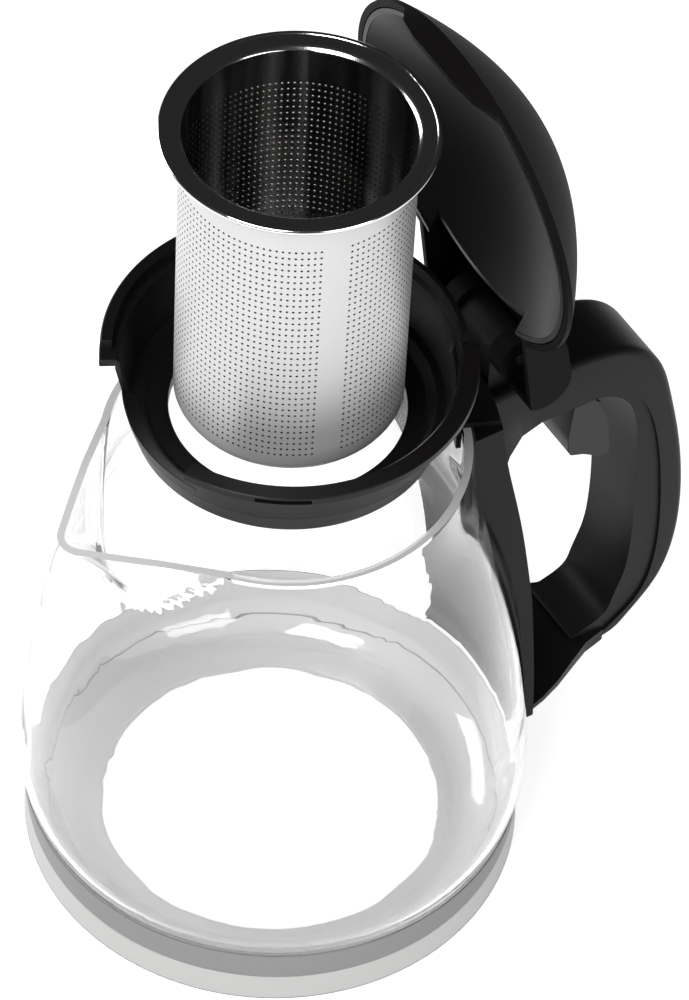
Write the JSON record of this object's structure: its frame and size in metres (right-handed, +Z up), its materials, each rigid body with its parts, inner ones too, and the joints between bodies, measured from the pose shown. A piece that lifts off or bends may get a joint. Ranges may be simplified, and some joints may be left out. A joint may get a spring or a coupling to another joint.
{
  "type": "tea maker",
  "caption": "Glass jug with ring base, side handle, trigger-released sprung domed lid, and a lifting collar with a deep perforated strainer basket.",
  "frame": {"origin": "centre of the base ring's resting face", "axes": "+Z up, +X towards the handle, -X towards the pouring lip"},
  "size_m": [0.2048, 0.1472, 0.2863],
  "materials": {
    "glass": "polished",
    "ring_silver": "satin",
    "band_grey": "satin",
    "saddle_black": "satin",
    "hook_black": "satin",
    "handle_outer": "semi-gloss",
    "handle_inner": "semi-gloss",
    "screw_steel": "plain",
    "bracket_screw_steel": "plain",
    "bracket_black": "satin",
    "pin_steel": "plain",
    "trigger_pin_steel": "plain",
    "lid_spring_steel": "plain",
    "trigger_spring_steel": "plain",
    "lid_black": "gloss",
    "liner_black": "gloss",
    "trigger_black": "semi-gloss",
    "catch_black": "satin",
    "collar_black": "gloss",
    "funnel_black": "gloss",
    "mesh_steel": "satin",
    "rim_steel": "polished",
    "floor_steel": "satin"
  },
  "bodies": {
    "jug": {"glass_jug": "glass", "base_ring": "ring_silver", "base_band": "band_grey", "handle_saddle": "saddle_black", "rim_hook": "hook_black", "handle_outer_shell": "handle_outer", "handle_inner_shell": "handle_inner", "handle_screws": "screw_steel", "bracket_screws": "bracket_screw_steel", "hinge_bracket": "bracket_black", "hinge_pin": "pin_steel", "lid_spring": "lid_spring_steel", "trigger_pin": "trigger_pin_steel", "trigger_spring": "trigger_spring_steel"},
    "lid": {"lid_shell": "lid_black", "lid_liner": "liner_black"},
    "trigger": {"trigger": "trigger_black"},
    "catch": {"lid_catch": "catch_black"},
    "collar": {"collar_ring": "collar_black", "collar_funnel": "funnel_black"},
    "basket": {"basket_tube": "mesh_steel", "basket_rim": "rim_steel", "basket_floor": "floor_steel"}
  },
  "joints": [
    {"name": "lid_hinge", "type": "hinge", "parent": "jug", "child": "lid", "pos_m": [0.066, 0, 0.17], "axis": [0, -1, 0], "range_deg": [0, 82]},
    {"name": "collar_lift", "type": "slide", "parent": "jug", "child": "collar", "axis": [0, 0, 1], "range_m": [-0.0322, 0]},
    {"name": "basket_lift", "type": "slide", "parent": "collar", "child": "basket", "axis": [0, 0, 1], "range_m": [-0.102, 0]},
    {"name": "trigger_pivot", "type": "hinge", "parent": "jug", "child": "trigger", "pos_m": [0.096, 0, 0.147], "axis": [0, -1, 0], "range_deg": [0, 7], "stiffness_Nm_per_rad": 0.5},
    {"name": "catch_slide", "type": "slide", "parent": "jug", "child": "catch", "axis": [1, 0, 0], "range_m": [0, 0.0011]}
  ],
  "couplings": [
    {"joint": "collar_lift", "follows": "lid_hinge", "m_per_rad": -0.022498},
    {"joint": "basket_lift", "follows": "lid_hinge", "m_per_rad": -0.07126},
    {"joint": "catch_slide", "follows": "trigger_pivot", "m_per_rad": 0.009}
  ]
}
